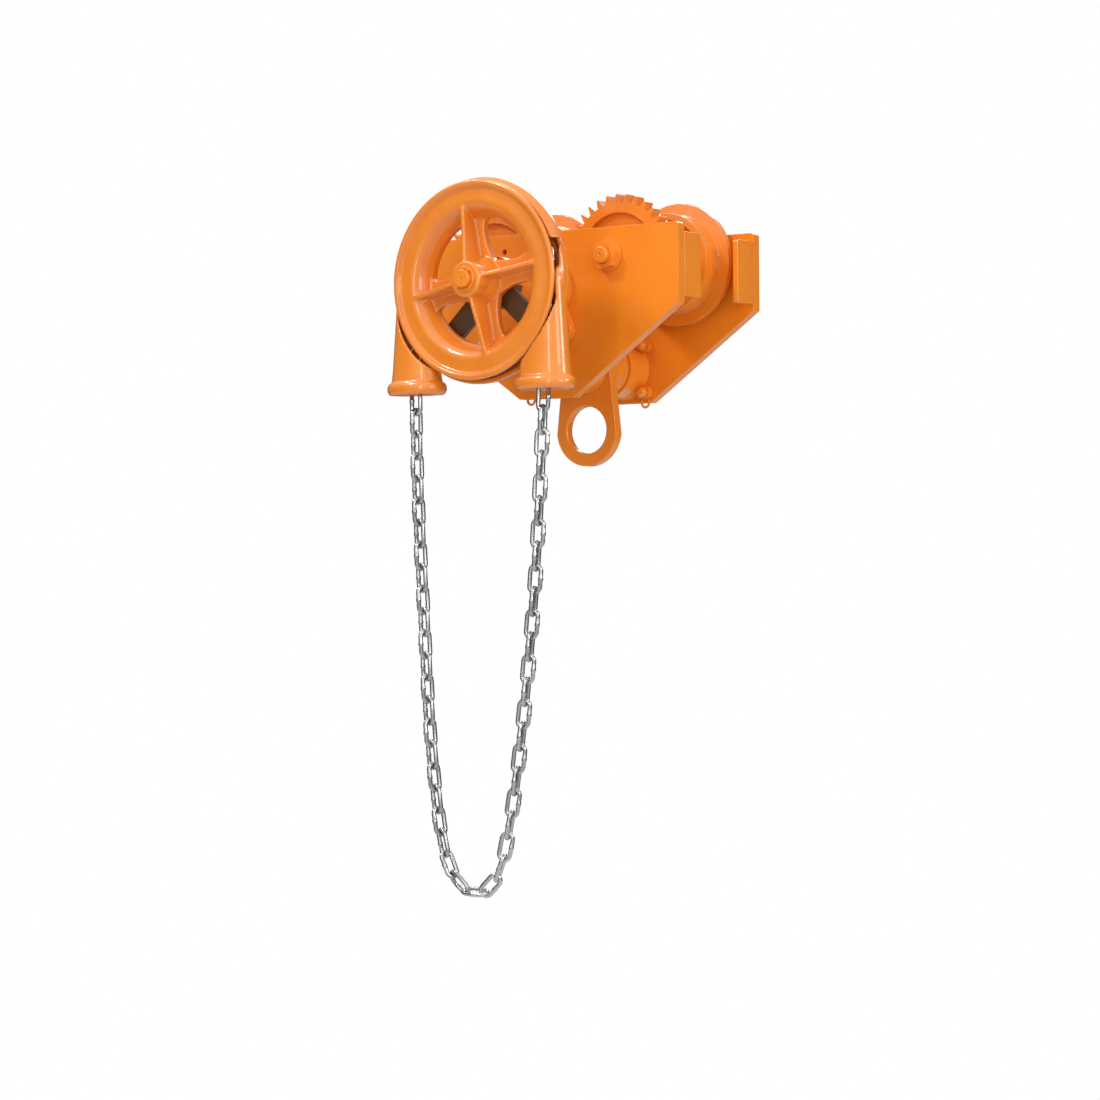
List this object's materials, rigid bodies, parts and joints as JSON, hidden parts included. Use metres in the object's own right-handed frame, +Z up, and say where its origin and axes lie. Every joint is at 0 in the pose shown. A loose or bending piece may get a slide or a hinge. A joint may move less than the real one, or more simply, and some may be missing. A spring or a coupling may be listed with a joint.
{
  "type": "hand chain geared beam trolley",
  "caption": "Hand-chain geared trolley that rolls on the lower flange of a beam, with a spoked chain wheel, a chain guide, meshed travel wheels and a swinging hoist eye.",
  "frame": {"origin": "the wheels' running surface on the beam flange, midway between the four wheels", "axes": "+X along the beam, +Y across the beam from the hand wheel side to the far side, +Z up"},
  "size_m": [0.357, 0.3492, 0.7914],
  "materials": {
    "orange_enamel": "glossy orange enamel on plate, bar and fastenings",
    "orange_cast": "glossy orange enamel over slightly grainy castings",
    "dark_enamel": "dark brown satin enamel",
    "zinc": "bright zinc plate"
  },
  "bodies": {
    "trolley_frame": {"side_plate_near": "orange_enamel", "load_bar_nut_near": "orange_enamel", "load_bar_collar_near": "orange_cast", "keeper_loop_near": "orange_enamel", "collar_bolt_near_1": "orange_cast", "adjusting_washer_near_1": "orange_enamel", "collar_bolt_near_2": "orange_cast", "adjusting_washer_near_2": "orange_enamel", "collar_bolt_near_3": "orange_cast", "adjusting_washer_near_3": "orange_enamel", "collar_bolt_near_4": "orange_cast", "adjusting_washer_near_4": "orange_enamel", "side_plate_far": "orange_enamel", "load_bar_nut_far": "orange_enamel", "load_bar_collar_far": "orange_cast", "keeper_loop_far": "orange_enamel", "collar_bolt_far_1": "orange_cast", "adjusting_washer_far_1": "orange_enamel", "collar_bolt_far_2": "orange_cast", "adjusting_washer_far_2": "orange_enamel", "collar_bolt_far_3": "orange_cast", "adjusting_washer_far_3": "orange_enamel", "collar_bolt_far_4": "orange_cast", "adjusting_washer_far_4": "orange_enamel", "bumper_near_left": "orange_enamel", "axle_near_left": "orange_enamel", "axle_nut_near_left": "orange_enamel", "bumper_near_right": "orange_enamel", "axle_near_right": "orange_enamel", "axle_nut_near_right": "orange_enamel", "bumper_far_left": "orange_enamel", "axle_far_left": "orange_enamel", "axle_nut_far_left": "orange_enamel", "bumper_far_right": "orange_enamel", "axle_far_right": "orange_enamel", "axle_nut_far_right": "orange_enamel", "load_bar": "orange_enamel", "shaft_housing": "orange_cast", "housing_bolt_1": "orange_enamel", "housing_bolt_2": "orange_enamel", "housing_bolt_3": "orange_enamel", "chain_guide": "orange_cast", "guide_bracket": "dark_enamel", "guide_bolt_left": "orange_enamel", "guide_bolt_right": "orange_enamel", "hand_chain": "zinc", "hand_chain_on_wheel": "zinc"},
    "drive": {"hand_wheel": "orange_cast", "hand_wheel_washer": "orange_enamel", "hand_wheel_pin": "orange_enamel", "drive_shaft": "orange_enamel", "drive_pinion": "orange_cast"},
    "near_left_wheel": {"geared_wheel_near_left": "orange_cast"},
    "near_right_wheel": {"geared_wheel_near_right": "orange_cast"},
    "far_left_wheel": {"flanged_wheel_far_left": "orange_cast"},
    "far_right_wheel": {"flanged_wheel_far_right": "orange_cast"},
    "eye": {"suspension_eye": "orange_enamel"}
  },
  "joints": [
    {"name": "drive_spin", "type": "hinge", "parent": "trolley_frame", "child": "drive", "pos_m": [0, -0.207, 0.02567], "axis": [0, 1, 0], "continuous": true},
    {"name": "near_left_wheel_spin", "type": "hinge", "parent": "trolley_frame", "child": "near_left_wheel", "pos_m": [-0.0865, -0.045, 0.057], "axis": [0, 1, 0], "continuous": true},
    {"name": "near_right_wheel_spin", "type": "hinge", "parent": "trolley_frame", "child": "near_right_wheel", "pos_m": [0.0865, -0.045, 0.057], "axis": [0, 1, 0], "continuous": true},
    {"name": "far_left_wheel_spin", "type": "hinge", "parent": "trolley_frame", "child": "far_left_wheel", "pos_m": [-0.0865, 0.045, 0.057], "axis": [0, 1, 0], "continuous": true},
    {"name": "far_right_wheel_spin", "type": "hinge", "parent": "trolley_frame", "child": "far_right_wheel", "pos_m": [0.0865, 0.045, 0.057], "axis": [0, 1, 0], "continuous": true},
    {"name": "eye_swing", "type": "hinge", "parent": "trolley_frame", "child": "eye", "pos_m": [0, 0, -0.059], "axis": [0, 1, 0], "range_deg": [-60, 60]}
  ],
  "couplings": [
    {"joint": "near_left_wheel_spin", "follows": "drive_spin", "ratio": -0.39394},
    {"joint": "near_right_wheel_spin", "follows": "drive_spin", "ratio": -0.39394}
  ]
}
